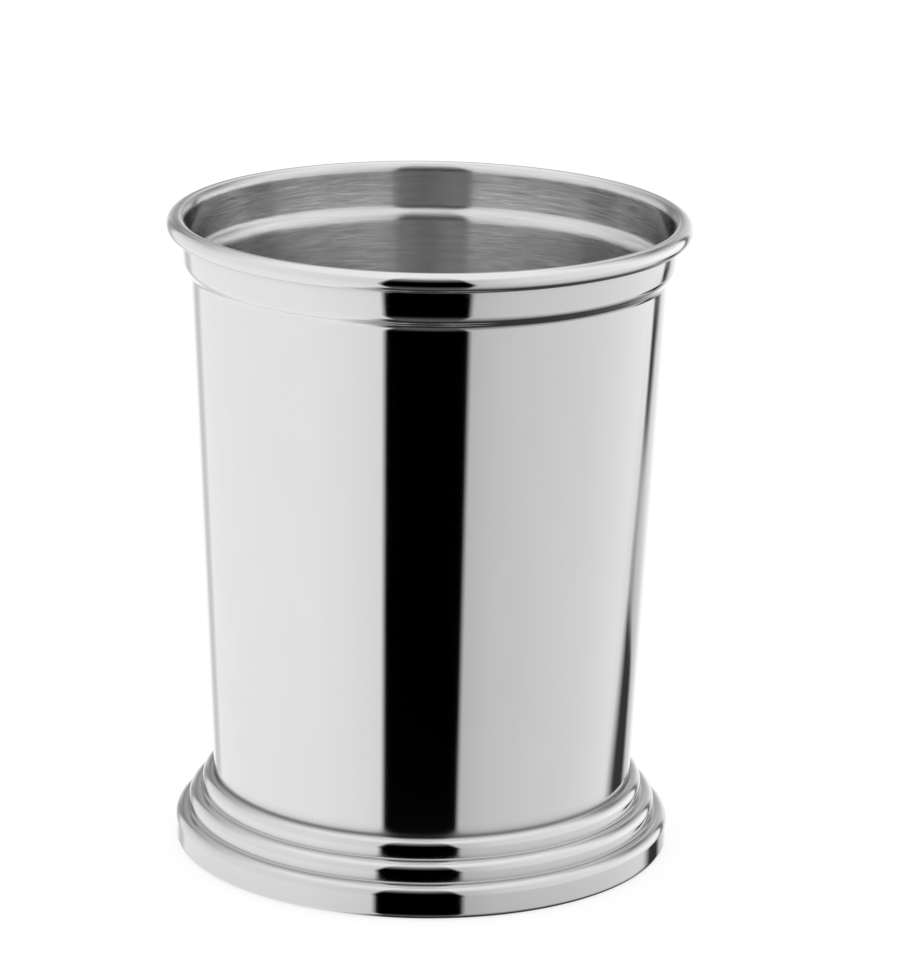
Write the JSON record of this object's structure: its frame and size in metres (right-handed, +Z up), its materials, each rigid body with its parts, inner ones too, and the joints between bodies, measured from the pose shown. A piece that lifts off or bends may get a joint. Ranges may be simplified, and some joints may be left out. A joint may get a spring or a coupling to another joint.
{
  "type": "steel tumbler",
  "caption": "Polished steel tumbler: tapered drawn cup with a curled bead rim and a neck band, brazed into a stepped foot ring. Holds a cold drink upright.",
  "frame": {"origin": "centre of the foot's underside, on the surface that the tumbler stands on", "axes": "+Z up along the axis that every piece is turned about, from the foot to the rim; X and Y are any two level directions square to each other"},
  "size_m": [0.088, 0.088, 0.1094],
  "materials": {
    "steel_sheet": "polished",
    "brazing_metal": "satin"
  },
  "bodies": {
    "root": {"cup_shell": "steel_sheet", "foot_ring": "steel_sheet", "upper_braze_ring": "brazing_metal", "lower_braze_ring": "brazing_metal"}
  },
  "joints": []
}
